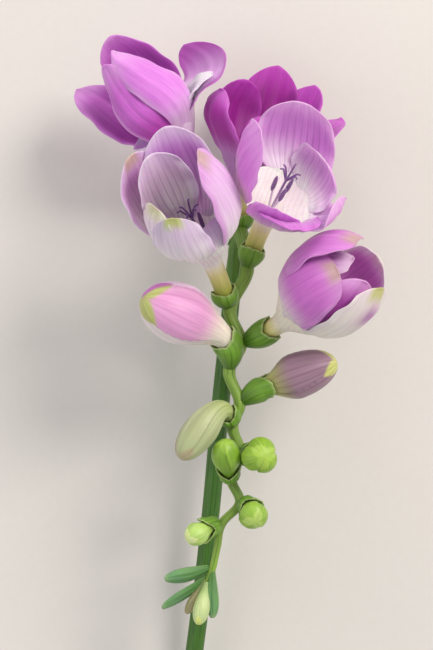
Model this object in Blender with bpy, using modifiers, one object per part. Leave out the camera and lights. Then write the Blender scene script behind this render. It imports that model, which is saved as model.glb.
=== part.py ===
"""A cut freesia stem lying on its back on a table.

The main stem lies along -Y and rises gently from its cut end to the bend, where the flowering axis turns over and
comes back towards the cut end above the stem. Open flowers stand at the bend, and buds get smaller towards the tip.
Lengths are in millimetres in a drawing frame: +X right and +Y up as seen from above, +Z away from the table.
place_on_table() turns and moves the finished pieces so that they rest on Z = 0 with the box's bottom centre at 0.
"""

import math

import bmesh
import bpy
import numpy as np
from mathutils import Euler, Vector

MM = 0.001

# Driving dimensions of the stem and its flowering axis.
STEM_RADIUS = 2.5
BEND_RADIUS = 2.1
AXIS_RADIUS = 1.5
TIP_RADIUS = 0.95
STEM_POINTS = 54
# Route of the stem from the cut end, over the bend and down the zigzag of the flowering axis: x, y, z and radius.
STEM_ROUTE = [
    (-19.0, -172.0, 2.7, STEM_RADIUS),
    (-12.5, -132.0, 4.6, STEM_RADIUS),
    (-6.3, -92.0, 7.0, STEM_RADIUS),
    (-1.9, -55.0, 9.6, STEM_RADIUS),
    (1.2, -21.0, 12.0, STEM_RADIUS),
    (4.0, 6.0, 13.6, 2.4),
    (5.0, 16.0, 14.0, 2.3),
    (5.8, 22.4, 15.8, BEND_RADIUS),
    (6.4, 25.4, 20.0, BEND_RADIUS),
    (7.2, 23.6, 24.6, 2.0),
    (8.2, 18.8, 27.2, 1.9),
    (8.0, 13.6, 28.4, 1.8),
    (3.6, 4.0, 30.4, 1.7),
    (6.6, -5.0, 31.6, 1.65),
    (3.4, -12.6, 32.4, 1.6),
    (6.3, -21.4, 33.0, AXIS_RADIUS),
    (4.3, -27.5, 33.2, AXIS_RADIUS),
    (6.5, -34.8, 33.4, 1.4),
    (4.0, -41.6, 33.6, 1.35),
    (6.3, -48.0, 33.8, 1.25),
    (1.4, -53.8, 34.0, 1.1),
    (0.2, -60.0, 34.0, 1.0),
    (-1.4, -67.0, 34.0, TIP_RADIUS),
    (-2.6, -70.0, 34.2, TIP_RADIUS),
]

# How far along its own axis, from the middle of the flowering axis, each piece begins.
BRACT_START = 0.6
BRACT_WALL = 0.65
NECK = 1.1
WALL = 0.7
CLEAR = 0.62


def smooth(value):
    """0 below 0, 1 above 1, and a smooth step between."""
    v = np.clip(value, 0.0, 1.0)
    return v * v * (3.0 - 2.0 * v)


def aim(angle, rise):
    """Unit direction at this angle in the table's plane, from +X towards +Y, and this rise above it, in degrees."""
    a, r = math.radians(angle), math.radians(rise)
    return np.array([math.cos(a) * math.cos(r), math.sin(a) * math.cos(r), math.sin(r)])


class GrowthAxis:
    """The bent centre line of one flower or bud, with a frame carried along it without twist."""

    STEPS = 80
    REACH = 70.0

    def __init__(self, node, start, end, bend):
        along = np.linspace(0.0, self.REACH, self.STEPS + 1)
        share = smooth(along / bend)[:, None]
        way = aim(*start) * (1.0 - share) + aim(*end) * share
        self.way = way / np.linalg.norm(way, axis=1)[:, None]
        step = along[1] - along[0]
        moved = np.cumsum((self.way[1:] + self.way[:-1]) * step / 2.0, axis=0)
        self.centre = np.array(node, float) + np.vstack([np.zeros(3), moved])
        self.along = along
        hint = np.array([1.0, 0.0, 0.0]) if abs(self.way[0, 0]) < 0.9 else np.array([0.0, -1.0, 0.0])
        side = [hint - self.way[0] * (hint @ self.way[0])]
        for w in self.way[1:]:
            side.append(side[-1] - w * (side[-1] @ w))
        self.side = np.array([s / np.linalg.norm(s) for s in side])

    def place(self, across, height, turn):
        """Points at this distance from the axis, height along it and turn round it (radians), in the drawing frame."""
        h = np.clip(height, 0.0, self.REACH)
        centre, way, side = (
            np.stack([np.interp(h, self.along, line[:, i]) for i in range(3)], axis=-1)
            for line in (self.centre, self.way, self.side)
        )
        way /= np.linalg.norm(way, axis=-1, keepdims=True)
        third = np.cross(way, side)
        return (
            centre
            + way * (height - h)[..., None]
            + side * (across * np.cos(turn))[..., None]
            + third * (across * np.sin(turn))[..., None]
        )


def material(name, colour, roughness):
    made = bpy.data.materials.new(name)
    made.use_nodes = True
    shader = made.node_tree.nodes["Principled BSDF"]
    shader.inputs["Base Color"].default_value = (*colour, 1.0)
    shader.inputs["Roughness"].default_value = roughness
    shader.inputs["Metallic"].default_value = 0.0
    made.diffuse_color = (*colour, 1.0)
    return made


def object_of(name, mesh, finish, collection):
    piece = bpy.data.objects.new(name, mesh)
    mesh.materials.append(finish)
    collection.objects.link(piece)
    return piece


def mesh_from(bm, name, points):
    """The bmesh's vertices moved to these points, in millimetres, as a mesh."""
    for vertex, point in zip(bm.verts, points):
        vertex.co = Vector(point) * MM
    mesh = bpy.data.meshes.new(name)
    bm.to_mesh(mesh)
    bm.free()
    return mesh


def closed_body(name, sides, rings, shape):
    """A UV sphere whose points are moved by shape(turn, rise), with rise from 0 at the bottom pole to 1 at the top."""
    bm = bmesh.new()
    bmesh.ops.create_uvsphere(bm, u_segments=sides, v_segments=rings, radius=1.0)
    co = np.array([v.co for v in bm.verts])
    turn = np.arctan2(co[:, 1], co[:, 0])
    rise = 1.0 - np.arccos(np.clip(co[:, 2], -1.0, 1.0)) / math.pi
    points = shape(turn, rise)
    mesh = mesh_from(bm, name, points)
    triangulate(mesh)
    return mesh


def triangulate(mesh):
    bm = bmesh.new()
    bm.from_mesh(mesh)
    bmesh.ops.triangulate(bm, faces=bm.faces)
    bm.to_mesh(mesh)
    bm.free()


def blade(name, across, along, thickness, shape, finish, collection):
    """A thin closed blade: a grid moved by shape(s, t), s from -1 to 1 across and t from 0 to 1 along, with a wall."""
    bm = bmesh.new()
    bmesh.ops.create_grid(bm, x_segments=across, y_segments=along, size=1.0)
    co = np.array([v.co for v in bm.verts])
    points = shape(co[:, 0], (co[:, 1] + 1.0) / 2.0)
    mesh = mesh_from(bm, name, points)
    triangulate(mesh)
    piece = object_of(name, mesh, finish, collection)
    wall = piece.modifiers.new("wall", "SOLIDIFY")
    wall.thickness = thickness * MM
    wall.offset = 0.0
    apply_modifiers(piece)
    return piece


def apply_modifiers(piece):
    graph = bpy.context.evaluated_depsgraph_get()
    made = bpy.data.meshes.new_from_object(piece.evaluated_get(graph))
    piece.modifiers.clear()
    piece.data = made


def fuse(body, others, solver="EXACT"):
    """Joins the others to the body by one Boolean union on a collection, and removes them."""
    group = bpy.data.collections.new(body.name + "_joined")
    for other in others:
        group.objects.link(other)
    join = body.modifiers.new("join", "BOOLEAN")
    join.operation = "UNION"
    join.operand_type = "COLLECTION"
    join.collection = group
    join.solver = solver
    apply_modifiers(body)
    for other in others:
        bpy.data.objects.remove(other)
    bpy.data.collections.remove(group)
    return body


def tube(name, points, radii, bevel_resolution, finish, collection):
    """A closed round rod through these points, made from a curve."""
    curve = bpy.data.curves.new(name, "CURVE")
    curve.dimensions = "3D"
    curve.bevel_depth = MM
    curve.bevel_resolution = bevel_resolution
    curve.use_fill_caps = True
    line = curve.splines.new("POLY")
    line.points.add(len(points) - 1)
    for point, co, radius in zip(line.points, points, radii):
        point.co = (*(Vector(co) * MM), 1.0)
        point.radius = radius
    guide = bpy.data.objects.new(name, curve)
    collection.objects.link(guide)
    graph = bpy.context.evaluated_depsgraph_get()
    mesh = bpy.data.meshes.new_from_object(guide.evaluated_get(graph))
    bpy.data.objects.remove(guide)
    bm = bmesh.new()
    bm.from_mesh(mesh)
    bmesh.ops.remove_doubles(bm, verts=bm.verts, dist=0.02 * MM)
    bmesh.ops.recalc_face_normals(bm, faces=bm.faces)
    bmesh.ops.triangulate(bm, faces=bm.faces)
    bm.to_mesh(mesh)
    bm.free()
    mesh.materials.clear()
    return object_of(name, mesh, finish, collection)


def through(points, count):
    """count points on a smooth curve (Catmull-Rom, centripetal by chord length) through the route's own points."""
    p = np.array(points, float)
    p = np.vstack([2 * p[0] - p[1], p, 2 * p[-1] - p[-2]])
    chord = np.sqrt(np.linalg.norm(np.diff(p[:, :3], axis=0), axis=1))
    knots = np.concatenate([[0.0], np.cumsum(chord)])
    length = np.concatenate([[0.0], np.cumsum(np.linalg.norm(np.diff(p[1:-1, :3], axis=0), axis=1))])
    out = []
    for at in np.linspace(0.0, length[-1], count):
        i = min(int(np.searchsorted(length, at, side="right")) - 1, len(length) - 2)
        share = (at - length[i]) / (length[i + 1] - length[i])
        k = knots[i : i + 4]
        u = k[1] + share * (k[2] - k[1])
        a = [
            p[i + j] * (k[j + 1] - u) / (k[j + 1] - k[j]) + p[i + j + 1] * (u - k[j]) / (k[j + 1] - k[j])
            for j in range(3)
        ]
        b = [a[j] * (k[j + 2] - u) / (k[j + 2] - k[j]) + a[j + 1] * (u - k[j]) / (k[j + 2] - k[j]) for j in range(2)]
        out.append(b[0] * (k[2] - u) / (k[2] - k[1]) + b[1] * (u - k[1]) / (k[2] - k[1]))
    return np.array(out)


# Flowers. Each has its node on the flowering axis, its start and end directions (angle, rise), the length over
# which it bends, where its perianth starts, the narrow tube's radius and length, the funnel's length and slope, the
# bracts' (length, turn) and its tepals. A tepal is (turn round the axis in degrees, slope at its middle, slope at
# its tip, length, half width, cup, layer, lean). Slopes are degrees away from the flower's axis. Layer 1 is the outer
# whorl and layer -1 the inner one. The lean is how many degrees the tip stands round the axis from the root.
FLOWERS = {
    "rear_left": dict(
        node=(5.7, 21.0, 15.2), start=(110, 0), end=(128, 17), bend=30.0, first=9.5,
        radius=2.3, narrow=16.5, funnel=17.0, slope=38.0, bract=(11.5, 60.0),
        tepals=[
            (350, 104, 14, 22.5, 13.0, 0.6, 1, 58),
            (68, -13, -34, 30.0, 10.8, 1.0, -1, -8),
            (132, 16, 46, 22.5, 8.0, 1.0, 1, -4),
            (272, -30, -26, 26.5, 7.0, 2.0, -1, -40),
            (308, -32, -42, 29.0, 7.2, 2.0, 1, -4),
            (350, 60, 110, 11.0, 7.0, 1.0, -1, 0),
        ],
    ),
    "rear_right": dict(
        node=(6.4, 25.2, 20.0), start=(84, 0), end=(76, 6), bend=14.0, first=4.5,
        radius=2.2, narrow=3.5, funnel=15.0, slope=38.0, bract=(6.0, 0.0),
        tepals=[
            (35, 44, 50, 23.0, 9.5, 1.0, 1, 0),
            (58, 14, 6, 24.5, 10.0, 1.0, -1, -14),
            (91, 6, 2, 27.0, 9.6, 1.0, 1, -2),
            (150, 16, -24, 22.0, 11.0, 0.6, -1, -20),
            (206, 38, -40, 19.0, 10.5, 1.0, 1, -4),
            (285, -10, -30, 14.0, 8.5, 1.0, -1, 0),
        ],
    ),
    "front_left": dict(
        node=(3.6, 4.0, 30.4), start=(107, 16), end=(115, 43), bend=17.0, first=5.0,
        radius=2.5, narrow=9.0, funnel=15.0, slope=37.0, bract=(6.0, 20.0),
        tepals=[
            (-24, -4, -34, 28.5, 9.8, 1.2, 1, 16),
            (84, 8, 2, 27.0, 11.0, 0.6, -1, 0),
            (134, 12, -12, 25.0, 10.0, 0.6, 1, 0),
            (206, 2, -44, 19.0, 9.0, 0.8, -1, 0),
            (248, 0, -34, 16.5, 9.0, 0.8, 1, 0),
            (306, -4, -35, 9.5, 8.8, 0.8, -1, 0),
            (122, -2, -10, 25.0, 10.0, 0.8, -3, 0),
        ],
    ),
    "front_right": dict(
        node=(8.0, 15.0, 28.2), start=(72, 12), end=(62, 48), bend=20.0, first=6.0,
        radius=2.5, narrow=7.0, funnel=16.0, slope=40.0, bract=(7.0, 90.0),
        tepals=[
            (-26, 52, -50, 12.6, 7.5, 0.6, 1, 10),
            (31, 20, -50, 13.5, 10.5, 0.6, -1, 20),
            (78, 22, -10, 20.8, 12.5, 0.4, 1, 24),
            (188, 10, -16, 27.0, 11.0, 0.8, -1, 16),
            (275, -2, 12, 9.5, 8.2, 0.8, 2.2, -8),
            (290, 36, 70, 12.0, 9.8, 0.6, -1, 0),
        ],
    ),
    "opening": dict(
        node=(6.6, -5.0, 31.6), start=(22, 12), end=(36, 32), bend=15.0, first=8.0,
        radius=2.5, narrow=2.5, funnel=13.5, slope=38.0, bract=(10.0, 0.0),
        tepals=[
            (322, -9, -34, 24.0, 8.4, 0.8, -1, 0),
            (192, 0, -58, 29.0, 11.0, 0.8, 0.6, 0),
            (208, -13, -54, 26.0, 8.6, 0.8, -3, 0),
            (259, -1, -46, 20.0, 10.5, 0.8, 2, 0),
            (303, -12, -40, 19.0, 6.6, 0.8, -0.4, 0),
            (349, -2, -36, 25.0, 9.6, 0.8, 1, 0),
            (85, 2, -42, 24.0, 10.0, 0.8, 1, 0),
        ],
    ),
}

# Closed buds: node, start and end directions, bend, where the perianth starts, its length and greatest radius,
# where along it that radius lies, the foot's radius, the bracts' (length, turn) and the seams' turn.
BUDS = {
    "left_large": dict(
        node=(3.4, -12.6, 32.4), start=(82, 16), end=(155, 26), bend=16.5, first=9.0,
        length=28.0, radius=8.1, belly=0.57, foot=2.9, bract=(10.5, 0.0), seam=30.0,
    ),
    "right_large": dict(
        node=(6.3, -21.4, 33.0), start=(41, 6), end=(20, 12), bend=11.0, first=7.8,
        length=21.5, radius=6.1, belly=0.43, foot=2.2, bract=(11.0, 90.0), seam=75.0,
    ),
    "left_middle": dict(
        node=(4.3, -27.5, 33.2), start=(104, 36), end=(234, 12), bend=16.0, first=3.8,
        length=22.5, radius=4.6, belly=0.55, foot=1.9, bract=(5.6, 0.0), seam=10.0,
    ),
    "right_small": dict(
        node=(6.5, -34.8, 33.4), start=(-5, 50), end=(5, 72), bend=8.0, first=4.0,
        length=12.5, radius=5.0, belly=0.62, foot=2.0, bract=(6.4, 80.0), seam=40.0,
    ),
    "front_small": dict(
        node=(4.0, -41.6, 33.6), start=(110, 60), end=(98, 40), bend=8.0, first=3.4,
        length=12.0, radius=3.9, belly=0.52, foot=1.7, bract=(5.4, 0.0), seam=-60.0,
    ),
    "right_round": dict(
        node=(6.3, -48.0, 33.8), start=(-20, 40), end=(-72, 60), bend=8.0, first=3.2,
        length=8.0, radius=3.9, belly=0.58, foot=1.7, bract=(5.2, 40.0), seam=90.0,
    ),
    "left_small": dict(
        node=(1.4, -53.8, 34.0), start=(190, 30), end=(208, 38), bend=8.0, first=3.4,
        length=8.8, radius=3.1, belly=0.56, foot=1.5, bract=(6.4, 90.0), seam=20.0,
    ),
}

# Unripe buds at the very tip, which grow together with the stem.
TIP_BUDS = {
    "front": dict(
        node=(-2.5, -69.5, 34.6), start=(256, 10), end=(258, 16), bend=6.0, first=0.0,
        length=11.8, radius=2.2, belly=0.64, foot=0.9, seam=0.0,
    ),
    "rear": dict(
        node=(-2.7, -69.0, 33.9), start=(238, -12), end=(240, -14), bend=6.0, first=0.0,
        length=11.2, radius=1.5, belly=0.62, foot=0.8, seam=60.0,
    ),
}

# Bare bracts at the tip: root, tip, half width, how far the middle arches, and the turn of the blade.
TIP_BRACTS = {
    "left": dict(root=(-2.0, -65.9, 34.0), tip=(-13.9, -68.7, 35.5), half=2.6, arch=1.3, roll=25.0),
    "low": dict(root=(-2.4, -68.6, 33.4), tip=(-14.6, -76.9, 31.5), half=2.2, arch=0.8, roll=40.0),
    "right": dict(root=(-1.4, -66.4, 34.4), tip=(-1.2, -79.0, 35.0), half=2.6, arch=1.3, roll=-30.0),
}


def axis_of(plant):
    return GrowthAxis(plant["node"], plant["start"], plant["end"], plant["bend"])


def funnel_line(flower):
    """Distance along the wall, radius, height and slope of the perianth's tube and funnel, at its middle."""
    total = flower["narrow"] + flower["funnel"]
    run = np.linspace(0.0, total, 61)
    slope = math.radians(flower["slope"]) * smooth((run - flower["narrow"]) / (0.45 * flower["funnel"]))
    step = run[1]
    lean = (slope[1:] + slope[:-1]) / 2
    radius = flower["radius"] - WALL / 2 + np.concatenate([[0.0], np.cumsum(np.sin(lean) * step)])
    height = flower["first"] + np.concatenate([[0.0], np.cumsum(np.cos(lean) * step)])
    return run, radius, height, slope


SUNK = 3.0
LAYER = 0.62


def tepal_line(flower, tepal):
    """Radius, height and slope along a tepal's middle, from its sunk root to its tip."""
    _, middle, tip, length = tepal[:4]
    _, radius, height, slope = funnel_line(flower)
    total = length + SUNK
    run = np.linspace(0.0, total, 81)
    share = np.clip((run - SUNK) / length, 0.0, 1.0)
    angles = np.radians(
        flower["slope"]
        + (middle - flower["slope"]) * smooth(share / 0.5)
        + (tip - middle) * smooth((share - 0.42) / 0.58)
    )
    step = run[1]
    r0 = radius[-1] - SUNK * math.sin(slope[-1])
    h0 = height[-1] - SUNK * math.cos(slope[-1])
    r = r0 + np.concatenate([[0.0], np.cumsum(np.sin((angles[1:] + angles[:-1]) / 2) * step)])
    h = h0 + np.concatenate([[0.0], np.cumsum(np.cos((angles[1:] + angles[:-1]) / 2) * step)])
    return run / total, r, h, angles


ROUND = 0.42
WIDEST = 0.46


def tepal_shape(flower, index):
    """shape(s, t) of one tepal: an oval outline wrapped round the flower's axis on its own profile line."""
    tepal = flower["tepals"][index]
    turn, _, _, length, half, cup, whorl, lean = tepal
    share_line, r_line, h_line, a_line = tepal_line(flower, tepal)
    axis = axis_of(flower)
    sunk = SUNK / (length + SUNK)
    root_radius = r_line[0]

    def shape(s, t):
        low = np.minimum(t / WIDEST, 1.0)
        v = np.clip((t - WIDEST) / (1.0 - WIDEST), 0.0, 1.0)
        along = np.where(t < WIDEST, t, WIDEST + (1.0 - WIDEST) * v * np.sqrt(1.0 - ROUND * s * s))
        along = along + 0.035 * (1.0 - np.abs(s)) ** 2 * v**3
        narrow = root_radius * math.radians(27.0)
        width = narrow + (half - narrow) * np.sin(low * math.pi / 2.0) ** 1.2
        lateral = s * width * np.sqrt(1.0 - ROUND * v * v)
        r = np.interp(along, share_line, r_line) + np.clip(along - 1.0, 0.0, 1.0) * 5.0
        h = np.interp(along, share_line, h_line) + np.clip(along - 1.0, 0.0, 1.0) * length
        a = np.interp(along, share_line, a_line)
        free = smooth((along - sunk) / 0.16)
        layer = (0.10 + (LAYER - 0.10) * free) * whorl
        inward = -layer + (cup - 1.0) * 1.1 * s * s * free * np.sin(np.clip(along, 0, 1) * math.pi * 0.8)
        r = r - inward * np.cos(a)
        h = h + inward * np.sin(a)
        around = np.radians(turn + lean * along) + lateral / np.maximum(r, 4.5)
        return axis.place(r, h, around)

    return shape


TUBE_OUTER = (0.0, 0.3, 0.5, 0.68, 0.84, 1.0)
TUBE_INNER = (1.0, 0.82, 0.62, 0.36)
TUBE_FLOOR = 1.0


def perianth(name, flower, finish, collection):
    """Tube, funnel and tepals in one solid, with a bore that the stamens stand in."""
    run, radius, height, slope = funnel_line(flower)
    axis = axis_of(flower)
    floor = TUBE_FLOOR / run[-1]
    shares = np.array([0.0, *TUBE_OUTER, *TUBE_INNER, floor, floor])
    sides = np.where(np.arange(len(shares)) > len(TUBE_OUTER), -1.0, 1.0)

    def wall(turn, rise):
        ring = np.rint(rise * (len(shares) - 1)).astype(int)
        along, side = shares[ring] * run[-1], sides[ring]
        r, h, a = (np.interp(along, run, line) for line in (radius, height, slope))
        half = WALL / 2 + 0.27 * smooth(along / run[-1] * 1.6)
        r = np.where((ring == 0) | (ring == len(shares) - 1), 0.0, r + side * half * np.cos(a))
        return axis.place(r, h - side * half * np.sin(a), turn)

    body = object_of(name, closed_body(name, 14, len(shares) - 1, wall), finish, collection)
    blades = [
        blade(f"{name}_tepal_{i}", 5, 7, 0.62, tepal_shape(flower, i), finish, collection)
        for i in range(len(flower["tepals"]))
    ]
    return fuse(body, blades)


CUP_OUTER = (0.0, 0.22, 0.42, 0.62, 0.82, 1.0)
CUP_INNER = (0.0, 0.35, 0.7, 1.0)


def body_radius(plant, height):
    """Radius of the bud or of the flower's tube at this height along its axis."""
    if "tepals" in plant:
        run, radius, line, _ = funnel_line(plant)
        return np.interp(height, line, radius + WALL / 2)
    share = np.clip((height - plant["first"]) / plant["length"], 0.0, 1.0)
    return bud_radius(plant, np.maximum(share, 1e-4))


def bract_cup(name, plant, finish, collection):
    """The ovary in its pair of bracts: a cup with a solid foot, whose rim rises to a point on two sides."""
    length, turned = plant["bract"]
    axis = axis_of(plant)
    foot = plant["first"] - CLEAR
    top = BRACT_START + length
    low_rim = min(foot + 1.0, top - 0.8)
    shares = np.array([0.0, *CUP_OUTER, *CUP_INNER, 1.0])
    inside = np.arange(len(shares)) > len(CUP_OUTER)

    def wall(turn, rise):
        ring = np.rint(rise * (len(shares) - 1)).astype(int)
        share, inner = shares[ring], inside[ring]
        lobe = np.abs(np.cos(turn - math.radians(turned))) ** 1.6
        rim = low_rim + (top - low_rim) * lobe
        h = np.where(inner, rim + (foot - rim) * share, BRACT_START + (rim - BRACT_START) * share)
        hug = body_radius(plant, h) + CLEAR
        swell = np.sin(np.clip((h - BRACT_START) / (foot - BRACT_START), 0.0, 1.0) * math.pi / 2) ** 0.8
        r = np.where(inner, hug, NECK + (hug + BRACT_WALL - NECK) * swell)
        r = np.where((ring == 0) | (ring == len(shares) - 1), 0.0, r)
        return axis.place(r, h, turn)

    return object_of(name, closed_body(name, 10, len(shares) - 1, wall), finish, collection)


def bud_radius(bud, share):
    """Radius of a closed bud at this share of its length: a slim foot, a belly and a rounded tip."""
    radius, belly, foot = bud["radius"], bud["belly"], bud["foot"]
    up = np.clip(share / belly, 0.0, 1.0)
    down = np.clip((share - belly) / (1.0 - belly), 0.0, 1.0)
    rising = foot + (radius - foot) * smooth(up * 0.93 + 0.04)
    falling = radius * np.sqrt(np.clip(1.0 - down**2.1, 0.0, 1.0))
    return np.where(share < belly, rising, falling)


def bud_shape(bud):
    """shape(turn, rise) of a closed bud: a spindle with three tepals whose edges overlap, each by a small step."""
    axis = axis_of(bud)

    def shape(turn, rise):
        t = np.clip(rise, 0.0, 1.0)
        r = bud_radius(bud, t)
        sector = np.mod(turn - math.radians(bud["seam"]) + 0.5 * t, 2 * math.pi / 3) / (2 * math.pi / 3)
        step = (0.5 - sector) * 0.11 * smooth(t / 0.35)
        r = r * (1.0 + step)
        r = np.where(t < 1e-6, 0.0, np.where(t > 1 - 1e-6, 0.0, r))
        return axis.place(r, bud["first"] + bud["length"] * t, turn)

    return shape


def stamens(name, flower, finish, collection):
    """Style with six branches and three stamens, joined at the foot of the funnel."""
    axis = axis_of(flower)
    first = flower["first"]
    top = first + flower["narrow"] + 0.9 * flower["funnel"]
    foot = first + TUBE_FLOOR + 0.3

    def line(rows):
        rows = np.array(rows, float)
        return axis.place(rows[:, 0], rows[:, 1], np.radians(rows[:, 2]))

    rows = [(0, h, 0) for h in np.linspace(foot, top + 6.0, 7)]
    style = tube(name, line(rows), np.linspace(0.46, 0.38, 7), 0, finish, collection)
    others = []
    for k in range(6):
        turn = 60.0 * k + 15.0
        rows = [(0.0, top + 5.6, turn), (2.9, top + 8.6 + (k % 2), turn)]
        others.append(tube(f"{name}_branch_{k}", line(rows), [0.36, 0.3], 0, finish, collection))
    for k in range(3):
        turn = 120.0 * k + 45.0
        branch = (foot + top) / 2
        rows = [(0.0, branch, turn), (1.1, (branch + top) / 2, turn), (2.0, top, turn), (2.3, top + 2.0, turn)]
        others.append(tube(f"{name}_filament_{k}", line(rows), [0.34] * 4, 0, finish, collection))
        rows = [(2.2, top - 0.4, turn), (2.35, top + 2.2, turn), (2.6, top + 5.0, turn)]
        others.append(tube(f"{name}_anther_{k}", line(rows), [0.5, 0.68, 0.4], 0, finish, collection))
    return fuse(style, others)


def tip_bract_shape(bract):
    """shape(s, t) of a bare bract: a boat-shaped pointed leaf from its root to its tip."""
    root, tip = (np.array(bract[k], float) for k in ("root", "tip"))
    way = tip - root
    length = np.linalg.norm(way)
    way = way / length
    up = np.array([0.0, 0.0, 1.0])
    side = np.cross(way, up)
    side /= np.linalg.norm(side)
    out = np.cross(side, way)
    roll = math.radians(bract["roll"])
    side, out = side * math.cos(roll) + out * math.sin(roll), out * math.cos(roll) - side * math.sin(roll)

    def shape(s, t):
        width = bract["half"] * (0.35 + 0.65 * np.sin(np.clip(t * 1.25, 0, 1) * math.pi / 2)) * np.sqrt(
            np.clip(1.0 - 0.93 * t**3.0, 0.0, 1.0)
        )
        keel = bract["arch"] * np.sin(t * math.pi) - 0.55 * width * s * s
        return root + way * (length * t)[:, None] + side * (s * width)[:, None] + out * keel[:, None]

    return shape


def build():
    for old in list(bpy.data.objects):
        bpy.data.objects.remove(old)
    spray = bpy.data.collections.new("freesia_stem")
    bpy.context.scene.collection.children.link(spray)

    green = material("stem_green", (0.10, 0.26, 0.04), 0.5)
    mauve = material("petal_mauve", (0.48, 0.20, 0.52), 0.55)
    magenta = material("petal_magenta", (0.32, 0.04, 0.30), 0.55)
    bud_pink = material("bud_pink", (0.62, 0.34, 0.55), 0.5)
    bud_green = material("bud_green", (0.36, 0.52, 0.10), 0.5)
    pollen = material("stamen_purple", (0.16, 0.06, 0.18), 0.6)

    route = through(STEM_ROUTE, STEM_POINTS)
    stem = tube("stem", route[:, :3], route[:, 3], 2, green, spray)
    grown = [bract_cup(f"bracts_{n}", p, green, spray) for n, p in [*FLOWERS.items(), *BUDS.items()]]
    grown += [blade(f"tip_bract_{n}", 4, 5, 0.65, tip_bract_shape(b), green, spray) for n, b in TIP_BRACTS.items()]
    for n, bud in TIP_BUDS.items():
        grown.append(object_of(f"tip_bud_{n}", closed_body(n, 9, 7, bud_shape(bud)), green, spray))
    fuse(stem, grown)

    for n, flower in FLOWERS.items():
        perianth(f"bloom_{n}", flower, magenta if n == "rear_right" else mauve, spray)
        stamens(f"stamens_{n}", flower, pollen, spray)
    for n, bud in BUDS.items():
        large = bud["length"] > 20.0
        mesh = closed_body(f"bud_{n}", 15, 10 if large else 8, bud_shape(bud))
        object_of(f"bud_{n}", mesh, bud_pink if large else bud_green, spray)
    return place_on_table(spray)


# How the drawing is turned to lie on its three lowest points, in degrees about X and then Y.
REST_TURN = (1.505, 3.637)


def place_on_table(collection):
    """Turns the pieces to their lie at rest and moves their box's bottom centre to the origin."""
    turn = Euler((math.radians(REST_TURN[0]), math.radians(REST_TURN[1]), 0.0)).to_matrix().to_4x4()
    for piece in collection.objects:
        piece.data.transform(turn)
    points = np.concatenate([np.array([v.co for v in p.data.vertices]) for p in collection.objects])
    low, high = points.min(0), points.max(0)
    shift = Vector(((low[0] + high[0]) / 2, (low[1] + high[1]) / 2, low[2]))
    for piece in collection.objects:
        for vertex in piece.data.vertices:
            vertex.co -= shift
        piece.data.shade_smooth()
        piece.data.set_sharp_from_angle(angle=math.radians(40.0))
    return shift


MOVED = build()
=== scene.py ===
import math

import bpy
import numpy as np
from mathutils import Euler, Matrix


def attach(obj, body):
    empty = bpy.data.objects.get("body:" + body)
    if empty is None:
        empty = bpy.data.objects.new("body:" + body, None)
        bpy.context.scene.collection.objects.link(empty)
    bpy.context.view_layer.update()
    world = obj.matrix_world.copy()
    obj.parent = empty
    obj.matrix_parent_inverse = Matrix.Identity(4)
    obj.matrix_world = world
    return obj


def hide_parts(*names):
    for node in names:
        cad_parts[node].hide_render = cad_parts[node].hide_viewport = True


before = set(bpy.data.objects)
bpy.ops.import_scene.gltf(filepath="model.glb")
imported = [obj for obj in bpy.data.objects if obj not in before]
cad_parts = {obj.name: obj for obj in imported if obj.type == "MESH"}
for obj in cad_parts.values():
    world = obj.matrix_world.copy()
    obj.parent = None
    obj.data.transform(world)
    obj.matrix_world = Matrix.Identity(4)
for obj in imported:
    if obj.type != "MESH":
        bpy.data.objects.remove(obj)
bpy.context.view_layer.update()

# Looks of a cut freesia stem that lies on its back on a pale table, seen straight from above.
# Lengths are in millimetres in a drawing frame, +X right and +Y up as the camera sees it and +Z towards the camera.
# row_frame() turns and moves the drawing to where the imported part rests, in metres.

MM = 0.001

# How the drawing lies on its three lowest points, in degrees about X and then Y, and the bottom centre of its box
# in millimetres, which is the part's origin.
REST_TURN = (1.505, 3.637)
SHIFT = np.array([4.698, -46.606, -3.099])
LIE = np.array(Euler((math.radians(REST_TURN[0]), math.radians(REST_TURN[1]), 0.0)).to_matrix())

# The camera in millimetres: its height above the drawing's plane, and what one pixel of the picture shows at the
# distance SEEN_AT from it, which is about as high as the front flowers. The picture's height is in pixels.
CAMERA_HEIGHT = 735.0
SEEN_AT = 700.0
MM_PER_PIXEL = 0.27
PICTURE_HEIGHT = 650


def row_frame(points):
    """Drawing points in millimetres as points of the part at rest in metres: turned by the lie, then shifted."""
    return (points @ LIE.T - SHIFT) * MM


# Shape helpers.


def smooth(value):
    """0 below 0, 1 above 1, and the smooth step 3v^2 - 2v^3 between."""
    v = np.clip(value, 0.0, 1.0)
    return v * v * (3.0 - 2.0 * v)


def bump_at(value, middle, half):
    """A bell of height 1 round middle, exp(-((value - middle) / half)^2)."""
    return np.exp(-(((value - middle) / half) ** 2))


def circle(count):
    """count angles evenly round a circle from 0."""
    return np.linspace(0.0, 2.0 * math.pi, count, endpoint=False)


def stacked(*parts):
    """x, y and z of any matching shapes as one array of points."""
    return np.stack(np.broadcast_arrays(*parts), axis=-1)


def running_sum(values, step):
    """The integral of values at even steps from 0, by the trapezium rule."""
    return np.concatenate([[0.0], np.cumsum((values[1:] + values[:-1]) * step / 2.0)])


def aim(angle, rise):
    """Unit direction at this angle in the drawing's plane, from +X towards +Y, and this rise above it, in
    degrees: (cos angle * cos rise, sin angle * cos rise, sin rise)."""
    a, r = math.radians(angle), math.radians(rise)
    return np.array([math.cos(a) * math.cos(r), math.sin(a) * math.cos(r), math.sin(r)])


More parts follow.
